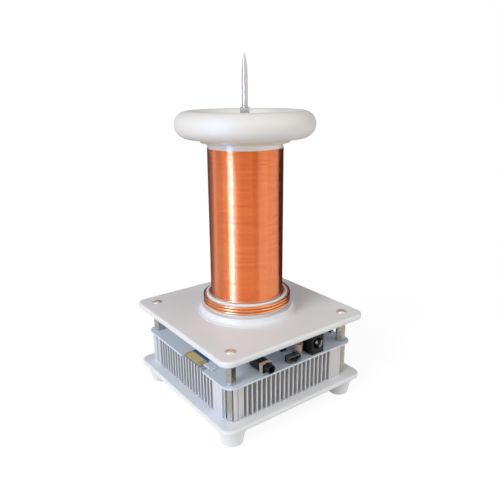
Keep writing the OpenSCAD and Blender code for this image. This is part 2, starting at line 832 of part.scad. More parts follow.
// The top end of the secondary goes up to the head of the spacer's screw.
module top_lead() {
    z = tube_top_z - plug_h - top_lead_drop;
    color("darkorange") inner_lead(z, screw_seat_z - head_h - z);
}

module tube_cap() {
    r = cap_d / 2;
    color("white") difference() {
        translate([0, 0, tube_top_z]) rotate_extrude() polygon([[0, -plug_h], [bore_r - fit_gap, -plug_h],
            [bore_r - fit_gap, 0], [r - cap_edge_r, 0], [r, cap_edge_r], [r, cap_t - cap_edge_r],
            [r - cap_edge_r, cap_t], [0, cap_t]]);
        translate([0, 0, tube_top_z - plug_h - over])
            cylinder(h = plug_h + cap_t + 2 * over, d = thread_d + 2 * slide_gap);
        translate([0, 0, tube_top_z - plug_h - over])
            cylinder(h = screw_well_depth + over, d = counterbore_d);
    }
}

// Section of one half of the hollow ring: side is 1 for the upper half and -1 for the lower.
module ring_half(side) {
    translate([ring_centre_r, ring_r]) difference() {
        circle(ring_r);
        circle(ring_r - toroid_wall);
        translate([-ring_d, side > 0 ? -ring_d : 0]) square([2 * ring_d, ring_d]);
    }
}

module toroid_lower_shell() {
    hole_r = thread_d / 2 + slide_gap;
    color("white") translate([0, 0, cap_top_z]) rotate_extrude() {
        ring_half(-1);
        difference() {
            translate([hole_r, 0]) square([ring_centre_r - hole_r, toroid_wall]);
            translate([ring_centre_r, ring_r]) circle(ring_r - toroid_wall / 2);
        }
    }
}

module toroid_upper_shell() {
    color("white") translate([0, 0, cap_top_z]) rotate_extrude() ring_half(1);
}

module spacer_screw() {
    color("silver") translate([0, 0, screw_seat_z]) rotate([180, 0, 0])
        pan_screw(thread_d, web_top_z + spacer_screw_bite - screw_seat_z, head_d, head_h);
}

module needle_spacer() {
    color("tan") translate([0, 0, web_top_z]) difference() {
        cylinder(h = spacer_h, r = standoff_r, $fn = 6);
        translate([0, 0, -over]) cylinder(h = spacer_h + 2 * over, r = thread_d / 2 + fit_gap);
    }
}

module discharge_needle() {
    r = needle_d / 2;
    // How full the point stays along its length, as shares of the needle's radius
    point_shares = [[0, 1], [0.35, 0.9], [0.7, 0.58]];
    color("silver") translate([0, 0, spacer_top_z]) {
        rotate_extrude() polygon(concat([[0, 0], [r, 0]],
            [for (s = point_shares) [r * s[1], needle_len - point_len * (1 - s[0])]],
            [[tip_r, needle_len - tip_r], [0, needle_len]]));
        translate([0, 0, -shank_len]) cylinder(h = shank_len, d = thread_d);
    }
}

base_plate();
base_screws();
lower_standoffs();
front_fin_panel();
right_fin_panel();
back_fin_panel();
left_fin_panel();
power_transistors();
insulating_pads();
transistor_screws();
circuit_board();
driver_chip();
input_diode();
reservoir_capacitor();
film_capacitor();
feedback_ring();
choke_core();
choke_winding();
radio_module();
module_shield();
audio_jack();
audio_collar();
switch_base();
switch_shell();
mode_slider();
dc_jack();
dc_pin();
primary_terminals();
upper_standoffs();
top_plate();
top_screws();
primary_former();
former_screws();
primary_winding();
primary_leads();
secondary_tube();
secondary_winding();
ground_lead();
top_lead();
tube_cap();
toroid_lower_shell();
toroid_upper_shell();
spacer_screw();
needle_spacer();
discharge_needle();
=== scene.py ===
from math import cos, pi, radians, sin

import bmesh
import bpy
from mathutils import Matrix, Vector


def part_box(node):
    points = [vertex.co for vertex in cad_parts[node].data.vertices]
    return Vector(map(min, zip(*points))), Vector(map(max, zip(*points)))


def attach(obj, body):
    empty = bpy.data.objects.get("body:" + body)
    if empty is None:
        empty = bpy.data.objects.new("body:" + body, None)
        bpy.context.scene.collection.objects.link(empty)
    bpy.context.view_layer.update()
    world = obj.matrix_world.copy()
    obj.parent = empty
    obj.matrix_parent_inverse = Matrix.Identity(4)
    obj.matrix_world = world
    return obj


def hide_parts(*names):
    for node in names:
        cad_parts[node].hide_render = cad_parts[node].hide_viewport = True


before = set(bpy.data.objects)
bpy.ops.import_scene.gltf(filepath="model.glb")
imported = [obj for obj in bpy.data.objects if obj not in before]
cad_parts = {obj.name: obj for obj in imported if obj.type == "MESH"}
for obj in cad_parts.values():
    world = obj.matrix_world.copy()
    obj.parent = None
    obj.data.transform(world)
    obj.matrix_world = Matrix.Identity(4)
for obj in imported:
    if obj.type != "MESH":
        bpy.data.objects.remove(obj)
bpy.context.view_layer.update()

# Everything is modelled in millimetres and turned to metres when a piece is finished.
MM = 0.001
# Two measures closer than this are the same, and two corners closer than WELD become one.
SAME = 0.001
WELD = 0.0001
# Reach of a cutter past the faces that it goes through
PAST = 1
UP = Vector((0, 0, 1))
# Turns work made along +Z so that it points to the front, -Y
TO_FRONT = Matrix.Rotation(radians(90), 4, "X")
HALF_TURN = Matrix.Rotation(pi, 4, "X")

# The four fixings through plates and board, and the usual sizes of M3 hardware
FIXINGS = [(x, y) for x in (-40, 40) for y in (-40, 40)]
M3_R = 1.5
M3_HOLE_R = 1.65
STANDOFF_ACROSS = 5
# Corner radius of both plates and of the board
PLATE_CORNER = 6
# Counterbore of the top screws, and height of the recess up each foot
COUNTERBORE_R = 3.0
COUNTERBORE_DEPTH = 2.4
RECESS_TOP = 8.8
# The primary's leads: the bearing of each round the axis in degrees, its distance, and its hole's radius
LOW_LEAD_TURN = 60
TOP_LEAD_TURN = 82.37
LOW_LEAD_R = 25.4
TOP_LEAD_R = 23.15
LEAD_HOLE_R = 0.95


# Materials: nodes first, then one for each real finish

def linear(code):
    """Turns an sRGB hex colour to the linear one that shaders take."""
    parts = [int(code[i:i + 2], 16) / 255 for i in (1, 3, 5)]
    return [*(c / 12.92 if c <= 0.04045 else ((c + 0.055) / 1.055) ** 2.4 for c in parts), 1.0]


def add(tree, kind, settings=None, links=None):
    """Adds a node, with its settings by socket or property, and its links."""
    node = tree.nodes.new(kind)
    for key, value in (settings or {}).items():
        if isinstance(key, int) or key in node.inputs:
            node.inputs[key].default_value = value
        else:
            setattr(node, key, value)
    for key, source in (links or {}).items():
        tree.links.new(source, node.inputs[key])
    return node


def blank(name):
    """A material and its empty tree."""
    material = bpy.data.materials.new(name)
    material.use_nodes = True
    material.node_tree.nodes.clear()
    return material, material.node_tree


def finish(name, settings):
    """Starts a material: its tree, the place on the object and its shader."""
    material, tree = blank(name)
    place = add(tree, "ShaderNodeTexCoord").outputs["Object"]
    shader = add(tree, "ShaderNodeBsdfPrincipled", settings)
    add(tree, "ShaderNodeOutputMaterial", None, {"Surface": shader.outputs[0]})
    return material, tree, place, shader


def noise(tree, place, size, detail, stretch):
    """Patches of a size in mm. A stretch under 1 draws them out along that axis."""
    spread = add(tree, "ShaderNodeMapping", {"Scale": stretch}, {"Vector": place})
    patches = add(tree, "ShaderNodeTexNoise", {"Scale": 1 / (size * MM), "Detail": detail},
                  {"Vector": spread.outputs[0]})
    return patches.outputs[0]


def tone(tree, place, shader, first, second, size, stretch=(1, 1, 1)):
    """Lets the colour drift between two hex values, over patches of a size in mm."""
    mixed = add(tree, "ShaderNodeMix", {"data_type": "RGBA", 6: linear(first), 7: linear(second)},
                {0: noise(tree, place, size, 3.0, stretch)})
    tree.links.new(mixed.outputs[2], shader.inputs["Base Color"])
    return mixed.outputs[2]


def gloss(tree, place, shader, low, high, size, stretch=(1, 1, 1)):
    """Lets the roughness drift between two values, over patches of a size in mm."""
    ranged = add(tree, "ShaderNodeMapRange",
                 {"From Min": 0.3, "From Max": 0.7, "To Min": low, "To Max": high},
                 {"Value": noise(tree, place, size, 2.0, stretch)})
    tree.links.new(ranged.outputs[0], shader.inputs["Roughness"])


def relief(tree, place, shader, size, depth, stretch=(1, 1, 1)):
    """Adds a fine relief. The size of its grains and its depth are in mm."""
    bump = add(tree, "ShaderNodeBump", {"Strength": 1.0, "Distance": depth * MM},
               {"Height": noise(tree, place, size, 2.0, stretch)})
    tree.links.new(bump.outputs[0], shader.inputs["Normal"])


def surface(name, settings, colours, shine=None, grain=None):
    """A material with a drifting colour and, where they are given, a drifting shine and a grain."""
    material, *parts = finish(name, settings)
    tone(*parts, *colours)
    if shine:
        gloss(*parts, *shine)
    if grain:
        relief(*parts, *grain)
    return material


def pale_solder_mask():
    """Pale solder mask over copper: satin, with the tracks barely showing through as soft edges."""
    material, tree, place, shader = finish("pale solder mask", {"Roughness": 0.42, "IOR": 1.52})
    mask = tone(tree, place, shader, "#CEDAE6", "#C6D2DF", 9)
    tracks = add(tree, "ShaderNodeTexBrick",
                 {"Scale": 1 / (9 * MM), "Mortar Size": 0.02, "Mortar Smooth": 0.6, "Brick Width": 0.9,
                  "Row Height": 0.45}, {"Vector": place})
    over = add(tree, "ShaderNodeMix", {"data_type": "RGBA", 7: linear("#BFCBDA")},
               {0: tracks.outputs["Fac"], 6: mask})
    tree.links.new(over.outputs[2], shader.inputs["Base Color"])
    return material


# ABS from a spark-eroded mould: satin white, with a fine even grain that dulls its shine
ABS = surface("satin white ABS", {"Roughness": 0.42, "IOR": 1.54}, ("#E1E4E6", "#DADDDF", 14),
              grain=(0.5, 0.006))
# The former's own whiter and glossier ABS, which stands out from the plate under it
BRIGHT_ABS = surface("bright white ABS", {"Roughness": 0.38, "IOR": 1.54}, ("#DFE2E5", "#DADDE0", 12),
                     grain=(0.6, 0.004))
# Nylon of the cap: satin, with a yellowish tint that paints the olive shade line under the toroid
SHADE_TINTED_IVORY = surface("shade-tinted ivory nylon", {"Roughness": 0.45, "IOR": 1.53}, ("#DDD7C0", "#D1CBB2", 8))
# Extruded rigid PVC: smooth and glossy, with faint lines along the tube
PVC = surface("white PVC tube", {"Roughness": 0.2, "IOR": 1.53}, ("#F4F2F3", "#ECEAEC", 6, (1, 1, 0.1)),
              grain=(0.8, 0.004, (1, 1, 0.05)))
# Stoved white paint on spun metal: satin, with a slight orange peel
PAINT = surface("satin white paint", {"Roughness": 0.5, "IOR": 1.5}, ("#DFDEDB", "#DAD9D6", 20),
                grain=(1.6, 0.004))
# Thick enamelled copper wire: a bright orange metal under a clear, glossy film
COPPER = surface("enamelled copper wire",
                 {"Metallic": 1.0, "Roughness": 0.18, "Coat Weight": 0.4, "Coat Roughness": 0.06,
                  "Coat IOR": 1.6}, ("#FFAF6A", "#FA944A", 3), grain=(1.2, 0.01))
# Hundreds of fine enamelled turns: the orange drifts lighter and darker in level bands, painted light and
# shade that stands in for uneven turns catching the light
WINDING = surface("fine copper winding",
                  {"Metallic": 1.0, "Roughness": 0.15, "Coat Weight": 1.0, "Coat Roughness": 0.1,
                   "Coat IOR": 1.75}, ("#FFA54E", "#E8641E", 0.8, (0.04, 0.04, 1)),
                  (0.1, 0.24, 0.9, (0.05, 0.05, 1)))
# Turned brass with a thin bright nickel plate: a warm grey metal, very slightly cloudy
NICKEL = surface("nickel plated brass", {"Metallic": 1.0, "Roughness": 0.25}, ("#CBC7BC", "#B5B0A3", 2.5),
                 (0.23, 0.28, 2.5, (1, 1, 0.3)))
# Bright zinc on pressed steel: pale, slightly warm grey, a little cloudy
ZINC = surface("zinc plated steel", {"Metallic": 0.7, "Roughness": 0.36}, ("#E9E4D6", "#D6CEBD", 1.2),
               (0.32, 0.44, 0.6))
# Ground and polished steel: bright, with fine rings round the needle
STEEL = surface("ground steel", {"Metallic": 1.0, "Roughness": 0.32},
                ("#D8CEC0", "#C4BAAC", 1.5, (0.2, 0.2, 1)))
# Extruded aluminium, clear-anodised: a whitish sheen with die lines along the fins
ALUMINIUM = surface("clear anodised aluminium", {"Metallic": 0.55, "Roughness": 0.44},
                    ("#DCDCDB", "#D2D3D3", 1.4, (1, 1, 0.06)), (0.4, 0.5, 0.5, (1, 1, 0.05)),
                    (0.3, 0.003, (1, 1, 0.04)))
MASK = pale_solder_mask()
# The sawn edge of glass-epoxy board: pale grey, with the weave as fine level lines
LAMINATE = surface("glass epoxy edge", {"Roughness": 0.55, "IOR": 1.55},
                   ("#DDE1E7", "#CBD0D8", 0.8, (1, 1, 6)))
# Dark blue solder mask: glossy, with a darker drift where copper lies under it
NAVY = surface("navy solder mask", {"Roughness": 0.25, "IOR": 1.52}, ("#2F6AAE", "#1F4F8C", 2.5),
               grain=(1.5, 0.01))
# Bare glass-epoxy under the aerial: a pale olive yellow with some gloss
AERIAL = surface("bare aerial laminate", {"Roughness": 0.35, "IOR": 1.55}, ("#BBA86E", "#A9945A", 1.5))
# Track of the aerial under its clear film: a pale yellow, brighter than the board under it
TRACK = surface("filmed aerial track", {"Metallic": 0.2, "Roughness": 0.35}, ("#F4E6AC", "#E6D28C", 0.6))
# Black glass-filled nylon: near black, dull, with a slightly rough skin
BLACK = surface("black moulded nylon", {"Roughness": 0.4, "IOR": 1.46}, ("#101113", "#0A0A0C", 2),
                grain=(0.3, 0.006))
# Black-plated sheet steel of the slide switch: dark, with painted glints, small patches of bright grey in its
# colour that stand in for highlights
PAINTED_GLINT_STEEL = surface("black plated steel with painted glints", {"Metallic": 1.0, "Roughness": 0.22},
                    ("#B0B0B4", "#101011", 0.5))
# Tinned steel sheet: bright grey with cloudy patches and rolling lines
TINNED = surface("tinned steel sheet", {"Metallic": 1.0, "Roughness": 0.32}, ("#D0D1D2", "#ABADB0", 1.6),
                 (0.24, 0.42, 0.8, (0.2, 1, 1)))
# Thin pressed brass with worn tin: a pale yellow metal
BRASS = surface("pressed tinned brass", {"Metallic": 0.2, "Roughness": 0.4}, ("#F0D8B4", "#E2C49C", 0.9))
# Fired ferrite: matt grey-black with a fine sandy skin
FERRITE = surface("fired ferrite", {"Roughness": 0.75, "IOR": 1.7}, ("#46443F", "#35332F", 0.8),
                  grain=(0.2, 0.02))
# The choke's bobbin: ferrite under a pale grey coating
PALE_FERRITE = surface("coated ferrite", {"Roughness": 0.5, "IOR": 1.55}, ("#C4C4C8", "#AFAFB4", 0.8))
# Pale enamelled copper of the choke: dull pinkish metal
PALE_COPPER = surface("pale enamelled copper",
                      {"Metallic": 0.3, "Roughness": 0.4, "Coat Weight": 0.3, "Coat Roughness": 0.1},
                      ("#DCC4BA", "#CBAFA3", 0.6))
# Shrunk PVC sleeve of the capacitor: dark blue, glossy
SLEEVE = surface("shrunk blue sleeve", {"Roughness": 0.3, "IOR": 1.53}, ("#1E2B48", "#172239", 3))
# Dipped epoxy: brick red, glossy and softly uneven
EPOXY = surface("dipped red epoxy", {"Roughness": 0.25, "IOR": 1.55}, ("#A63524", "#8E2A1C", 3),
                grain=(2.5, 0.06))
# Grey silicone with glass cloth in it: matt, with a faint weave
SILICONE = surface("grey silicone pad", {"Roughness": 0.8, "IOR": 1.41}, ("#A9ABA8", "#969894", 0.5))
# Green nylon of the terminal block: satin
GREEN = surface("green moulded nylon", {"Roughness": 0.4, "IOR": 1.53}, ("#2F7F55", "#276F49", 3),
                grain=(0.4, 0.01))
# Tin-lead joints and the ends of small parts: bright, slightly frosted
TIN = surface("tin solder", {"Metallic": 1.0, "Roughness": 0.45}, ("#D9DADB", "#BFC0C2", 0.3))
# Small ceramic resistors and capacitors: matt, from pale tan to near black
CERAMIC = surface("small ceramic parts", {"Roughness": 0.5, "IOR": 1.6}, ("#A08A6C", "#26241F", 9))
# White ceramic parts by the module: clean and bright, set where the notch's lit edge shows pale, so they are
# a painted highlight
HIGHLIGHT_WHITE_CERAMIC = surface("white ceramic for painted highlight", {"Roughness": 0.4, "IOR": 1.6}, ("#F2F1EC", "#E4E2DB", 1))


# Ways of working

def span(node):
    """Lowest and highest corners of a CAD node, in mm."""
    low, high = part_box(node)
    return low / MM, high / MM


def about_z(degrees):
    """A turn about the upright axis."""
    return Matrix.Rotation(radians(degrees), 4, "Z")


def polar(radius, degrees):
    """x and y of the point at a distance from the axis and a bearing round it."""
    return radius * cos(radians(degrees)), radius * sin(radians(degrees))


def at_fixings(height):
    """The four fixings at one height."""
    return [(x, y, height) for x, y in FIXINGS]


def upright(bm):
    """The edges that stand straight up."""
    return [e for e in bm.edges if (e.verts[0].co - e.verts[1].co).xy.length < SAME]


def level(bm):
    """The edges that lie level."""
    return [e for e in bm.edges if abs(e.verts[0].co.z - e.verts[1].co.z) < SAME]


def bevel(bm, edges, width, steps=2):
    """Rounds edges."""
    bmesh.ops.bevel(bm, geom=edges, offset=width, offset_type="OFFSET", segments=steps, profile=0.5,
                    affect="EDGES", clamp_overlap=True, material=-1)


def box(low, high, soft=0.0, steps=2):
    """A block between two corners, with all its edges eased by soft."""
    bm = bmesh.new()
    low, high = Vector(low), Vector(high)
    bmesh.ops.create_cube(bm, size=1)
    bmesh.ops.scale(bm, vec=high - low, verts=bm.verts)
    bmesh.ops.translate(bm, vec=(low + high) / 2, verts=bm.verts)
    if soft:
        bevel(bm, bm.edges[:], soft, steps)
    return bm


def revolve(bm, steps):
    """Spins all the work once round Z and joins its ends."""
    bmesh.ops.spin(bm, geom=bm.verts[:] + bm.edges[:], cent=(0, 0, 0), axis=UP, angle=2 * pi, steps=steps,
                   use_merge=True)


def lathe(outline, steps=96):
    """Spins an outline of (radius, height) points about Z. A third number rounds that corner."""
    bm = bmesh.new()
    corners = [bm.verts.new((point[0], 0, point[1])) for point in outline]
    for a, b in zip(corners, corners[1:]):
        bm.edges.new((a, b))
    if outline[0][0] > 0 and outline[-1][0] > 0:
        bm.edges.new((corners[-1], corners[0]))
    for corner, point in zip(corners, outline):
        if len(point) > 2:
            bmesh.ops.bevel(bm, geom=[corner], offset=point[2], offset_type="OFFSET", segments=5,
                            profile=0.5, affect="VERTICES", clamp_overlap=True, material=-1)
    revolve(bm, steps)
    bmesh.ops.remove_doubles(bm, verts=bm.verts, dist=WELD)
    bmesh.ops.recalc_face_normals(bm, faces=bm.faces)
    return bm


def moved(bm, shift=(0, 0, 0), turn=None):
    """Turns work about the origin and then shifts it."""
    bmesh.ops.transform(bm, matrix=Matrix.Translation(shift) @ (turn or Matrix()), verts=bm.verts)
    return bm


def as_mesh(name, bm):
    """Turns work into a mesh, and frees the work."""
    mesh = bpy.data.meshes.new(name)
    bm.to_mesh(mesh)
    bm.free()
    return mesh


def placed(name, data):
    """Puts a mesh, lamp or camera into the scene as an object."""
    made = bpy.data.objects.new(name, data)
    bpy.context.scene.collection.objects.link(made)
    return made


def join(target, part, shift=(0, 0, 0), turn=None, index=0):
    """Moves a turned and shifted part into target, with a material number of its own."""
    mesh = as_mesh("work", part)
    if index:
        mesh.polygons.foreach_set("material_index", [index] * len(mesh.polygons))
    mesh.transform(Matrix.Translation(shift) @ (turn or Matrix()))
    target.from_mesh(mesh)
    bpy.data.meshes.remove(mesh)
    return target


def combined(parts):
    """One piece of work out of several."""
    whole = bmesh.new()
    for part in parts:
        join(whole, part)
    return whole


def copies(part, places, turn=None):
    """One piece of work with a turned copy of the part at each place."""
    whole = bmesh.new()
    for place in places:
        join(whole, part.copy(), place, turn)
    part.free()
    return whole


def carve(bm, tool, operation="DIFFERENCE"):
    """Cuts tool out of the work, or unites the two."""
    holders = [placed("work", as_mesh("work", part)) for part in (bm, tool)]
    boolean = holders[0].modifiers.new("Carve", "BOOLEAN")
    boolean.object = holders[1]
    boolean.operation = operation
    boolean.solver = "EXACT"
    depsgraph = bpy.context.evaluated_depsgraph_get()
    result = bpy.data.meshes.new_from_object(holders[0].evaluated_get(depsgraph))
    carved = bmesh.new()
    carved.from_mesh(result)
    bpy.data.meshes.remove(result)
    for holder in holders:
        mesh = holder.data
        bpy.data.objects.remove(holder)
        bpy.data.meshes.remove(mesh)
    return carved


def close_ends(bm):
    """Closes the open ends of a swept wire or strip."""
    bmesh.ops.holes_fill(bm, edges=[edge for edge in bm.edges if edge.is_boundary], sides=0)
    return bm


def worked_copy(node, width):
    """A copy of a CAD node with its loose triangles joined up and its edges eased."""
    flat, sharp = radians(1), radians(25)
    bm = bmesh.new()
    bm.from_mesh(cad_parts[node].data)
    bmesh.ops.scale(bm, vec=Vector((1, 1, 1)) / MM, verts=bm.verts)
    bmesh.ops.remove_doubles(bm, verts=bm.verts, dist=SAME)
    bmesh.ops.dissolve_limit(bm, angle_limit=flat, use_dissolve_boundaries=False, verts=bm.verts,
                             edges=bm.edges, delimit=set())
    bevel(bm, [edge for edge in bm.edges if edge.calc_face_angle(0) > sharp], width)
    return bm


def piece(name, bm, materials, stands_for=(), body="frame", smooth=35):
    """Finishes a piece: metres, outward faces, shading that turns sharp past an angle, body and nodes."""
    bmesh.ops.remove_doubles(bm, verts=bm.verts, dist=WELD)
    bmesh.ops.recalc_face_normals(bm, faces=bm.faces)
    bmesh.ops.scale(bm, vec=Vector((1, 1, 1)) * MM, verts=bm.verts)
    mesh = as_mesh(name, bm)
    for material in materials:
        mesh.materials.append(material)
    mesh.polygons.foreach_set("use_smooth", [True] * len(mesh.polygons))
    mesh.set_sharp_from_angle(angle=radians(smooth))
    made = placed(name, mesh)
    weighted = made.modifiers.new("Even shading", "WEIGHTED_NORMAL")
    weighted.keep_sharp = True
    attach(made, body)
    if stands_for:
        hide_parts(*stands_for)
    return made


def dress(node, material):
    """Gives a CAD node that stays its real finish."""
    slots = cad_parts[node].data.materials
    slots.clear()
    slots.append(material)


# Where the primary's leads go down through the former and the plate: the low one and the top one
LEADS = [polar(LOW_LEAD_R, LOW_LEAD_TURN), polar(TOP_LEAD_R, TOP_LEAD_TURN)]


# Plates and feet

def slab(width, low, high, edge):
    """A square plate with round corners and rounded edges."""
    bm = box((-width / 2, -width / 2, low), (width / 2, width / 2, high))
    bevel(bm, upright(bm), PLATE_CORNER, 12)
    bevel(bm, level(bm), edge, 5)
    return bm


def cylinder(radius, low, high, steps=32):
    """A plain round bar, or a cutter for a hole."""
    return lathe([(0, low), (radius, low), (radius, high), (0, high)], steps)


def base_plate():
    """The lower plate, with four tapered feet and a screw recess up through each."""
    low, high = span("base_plate")
    root, underside, root_r, foot_r = 12.4, 10.8, 9.7, 6.2
    bm = slab(high.x - low.x, underside, high.z, 1.2)
    foot = lathe([(0, root), (root_r, root), (root_r, underside), (8.2, underside, 1.45),
                  (foot_r, 2.0, 0.6), (foot_r, 0, 1.9), (3.3, 0), (3.0, 0.3), (3.0, RECESS_TOP),
                  (0, RECESS_TOP)], 64)
    feet = copies(foot, at_fixings(0))
    piece("moulded_base_plate", carve(bm, feet, "UNION"), [ABS], ["base_plate"])


def top_plate():
    """The upper plate, with a counterbore at each corner and the holes under the coil."""
    low, high = span("top_plate")
    under, top, seat, chamfer = low.z - PAST, high.z, high.z - COUNTERBORE_DEPTH, 0.12
    bm = slab(high.x - low.x, low.z, top, 1.3)
    cutter = lathe([(0, under), (M3_HOLE_R, under), (M3_HOLE_R, seat), (COUNTERBORE_R, seat),
                    (COUNTERBORE_R, top - chamfer), (3.15, top), (3.15, top + PAST), (0, top + PAST)], 40)
    cutters = copies(cutter, at_fixings(0))
    join(cutters, cylinder(6, under, top + PAST))
    for x, y in LEADS:
        join(cutters, cylinder(LEAD_HOLE_R, under, top + PAST, 20), (x, y, 0))
    piece("moulded_top_plate", carve(bm, cutters), [ABS], ["top_plate"])


# Standoffs and screws

def hex_bar(length, soft):
    """A hexagonal bar with turned ends and slightly rounded corners, standing on z = 0."""
    bm = bmesh.new()
    radius = STANDOFF_ACROSS / 2 / cos(radians(30))
    bmesh.ops.create_cone(bm, cap_ends=True, cap_tris=False, segments=6, radius1=radius, radius2=radius,
                          depth=length)
    moved(bm, (0, 0, length / 2), about_z(30))
    bevel(bm, upright(bm), 0.12)
    bevel(bm, level(bm), soft)
    return bm


def standoffs():
    """The two sets of hexagonal standoffs that hold the plates and the board apart."""
    low, high = span("lower_standoffs")
    lower = moved(hex_bar(high.z - low.z, 0.22), (0, 0, low.z))
    piece("lower_standoff_set", copies(lower, at_fixings(0)), [NICKEL],
          ["lower_standoffs"])
    low, high = span("upper_standoffs")
    deck = span("circuit_board")[1].z
    upper = moved(hex_bar(high.z - deck, 0.22), (0, 0, deck))
    join(upper, cylinder(M3_R, low.z, deck + 0.5))
    piece("upper_standoff_set", copies(upper, at_fixings(0)), [NICKEL],
          ["upper_standoffs"])


def pan_screw(head, height, thread, length):
    """A pan-head screw with a cross recess, seated at z = 0 with its shank down."""
    half = head / 2
    dome = [(half * sin(radians(a)), height * (0.6 + 0.4 * cos(radians(a)))) for a in range(0, 91, 10)]
    bm = lathe([*dome, (half, 0), (thread / 2, 0), (thread / 2, -length), (0, -length)], 40)
    arm, width, depth = head * 0.18, 0.26, height * 0.2
    bm = carve(bm, box((-arm, -width, height - depth), (arm, width, height + PAST)))
    return carve(bm, box((-width, -arm, height - depth), (width, arm, height + PAST)))


def screws():
    """The plated screws of both plates and those that hold the former down."""
    under, top = (corner.z for corner in span("top_plate"))
    # For each set: its node, head across and head height, thread, length, turn and places
    sets = {
        "top_screw_set": ("top_screws", 5.9, 3.25, 3.0, 6, about_z(20), at_fixings(top - COUNTERBORE_DEPTH)),
        "base_screw_set": ("base_screws", 5.4, 1.9, 3.0, 10, HALF_TURN, at_fixings(RECESS_TOP)),
        "former_screw_set": ("former_screws", 5.0, 1.6, 2.5, 5.5, HALF_TURN,
                             [(*polar(25.2, bearing), under) for bearing in (0, 120, 240)]),
    }
    for name, (node, head, height, thread, length, turn, places) in sets.items():
        screw = pan_screw(head, height, thread, length)
        piece(name, copies(screw, places, turn), [ZINC], [node])


# Finned sides and what is fixed to them

def fin_panels():
    """The four anodised extrusions that close the base."""
    for side in ("front", "right", "back", "left"):
        node = f"{side}_fin_panel"
        piece(f"finned_{side}_side", worked_copy(node, 0.12), [ALUMINIUM], [node], smooth=30)


def power_transistors():
    """The two transistors on the back panel: black bodies with plated tabs and leads."""
    body_top = span("power_transistors")[0].z + 15.6
    body_height, clear = 9.25, 0.05
    bm = worked_copy("power_transistors", 0.12)
    for face in bm.faces:
        height = face.calc_center_median().z
        in_tab = height < body_top - body_height
        in_leads = height > body_top + clear
        face.material_index = 1 if in_tab or in_leads else 0
    piece("tabbed_transistors", bm, [BLACK, TINNED], ["power_transistors"], smooth=30)


# Circuit board

def circuit_board():
    """The board: pale mask on both faces and bare laminate at its sawn edges."""
    low, high = span("circuit_board")
    under, over = low.z - PAST, high.z + PAST
    notch_depth, notch_front, notch_back = 4.8, -20.4, 1.6
    bm = slab(high.x - low.x, low.z, high.z, 0.08)
    notch = box((low.x - PAST, notch_front, under), (low.x + notch_depth, notch_back, over))
    bevel(notch, upright(notch), 0.6, 3)
    holes = copies(cylinder(M3_HOLE_R, under, over, 24), at_fixings(0))
    bm = carve(bm, combined([notch, holes]))
    bm.normal_update()
    for face in bm.faces:
        face.material_index = 1 if abs(face.normal.z) < 0.5 else 0
    piece("driver_board", bm, [MASK, LAMINATE], ["circuit_board"], smooth=30)


# Place of each small part on the board, and whether it lies across
SMALL_PARTS = [(-41.2, -23.4, 0), (-38.4, -22.6, 1), (-9, -21, 0), (-6, -23, 0), (-10, -17, 1), (-3, -21, 1),
               (10, -25.5, 0), (13, -23.5, 1), (9.5, -21.5, 0), (25, -28, 1), (29, -26, 0), (33, -22, 0),
               (34, -15, 0), (34, -5, 0), (-30, 10, 0), (-27, 13, 1), (-30, 18, 0), (-12, 12, 0), (14, 12, 1),
               (16, -8, 0), (12, -14, 0), (-12, -10, 0), (-14, -16, 1), (36, 14, 1), (36, 20, 1), (33, 28, 0),
               (20, 30, 1)]
# Length, width and height, which the parts take by turns
PART_SIZES = [(2.0, 1.25, 0.6), (1.6, 0.8, 0.5), (2.0, 1.25, 1.1)]
# The first of them are white parts beside the module, a painted highlight where the notch's lit edge shows
# pale.
HIGHLIGHT_PARTS = 2


def small_parts():
    """Small resistors and capacitors, each a ceramic block with two tinned ends."""
    deck = span("circuit_board")[1].z
    end_len, overlap, lap = 0.3, 0.02, 0.03
    whole = bmesh.new()
    for number, (x, y, across) in enumerate(SMALL_PARTS):
        length, width, height = PART_SIZES[number % len(PART_SIZES)]
        turn = about_z(90 * across)
        body = box((-length / 2 + end_len, -width / 2, 0), (length / 2 - end_len, width / 2, height), 0.06)
        join(whole, body, (x, y, deck), turn, 2 if number < HIGHLIGHT_PARTS else 0)
        for side in (-1, 1):
            start, end = sorted((side * length / 2, side * (length / 2 - end_len - overlap)))
            cap = box((start, -width / 2 - lap, 0), (end, width / 2 + lap, height + 0.04), 0.08)
            join(whole, cap, (x, y, deck), turn, 1)
    piece("small_board_parts", whole, [CERAMIC, TIN, HIGHLIGHT_WHITE_CERAMIC])


def driver_chip():
    """The gate driver: a moulded body with eight bent legs."""
    low, high = span("driver_chip")
    first, pitch, half = 1.1, 1.27, 0.2
    bm = box((low.x + 0.55, low.y, low.z + 0.1), (high.x - 0.55, high.y, high.z), 0.14)
    for row in range(4):
        y = low.y + first + pitch * row
        for outer, inner in ((low.x, low.x + 0.7), (high.x, high.x - 0.7)):
            foot = sorted((outer, inner))
            shoulder = sorted((outer * 0.6 + inner * 0.4, inner))
            for (start, end), height in ((foot, 0.18), (shoulder, 0.9)):
                leg = box((start, y - half, low.z), (end, y + half, low.z + height), 0.05)
                join(bm, leg, index=1)
    piece("gate_driver", bm, [BLACK, TIN], ["driver_chip"])


def input_diode():
    """The input diode: a moulded body with a tinned tab at each end."""
    low, high = span("input_diode")
    bm = box((low.x, low.y + 0.35, low.z + 0.1), (high.x, high.y - 0.35, high.z), 0.2)
    for near, far in ((low.y, low.y + 0.5), (high.y - 0.5, high.y)):
        join(bm, box((low.x + 0.5, near, low.z), (high.x - 0.5, far, low.z + 1.1), 0.08), index=1)
    piece("power_diode", bm, [BLACK, TIN], ["input_diode"])


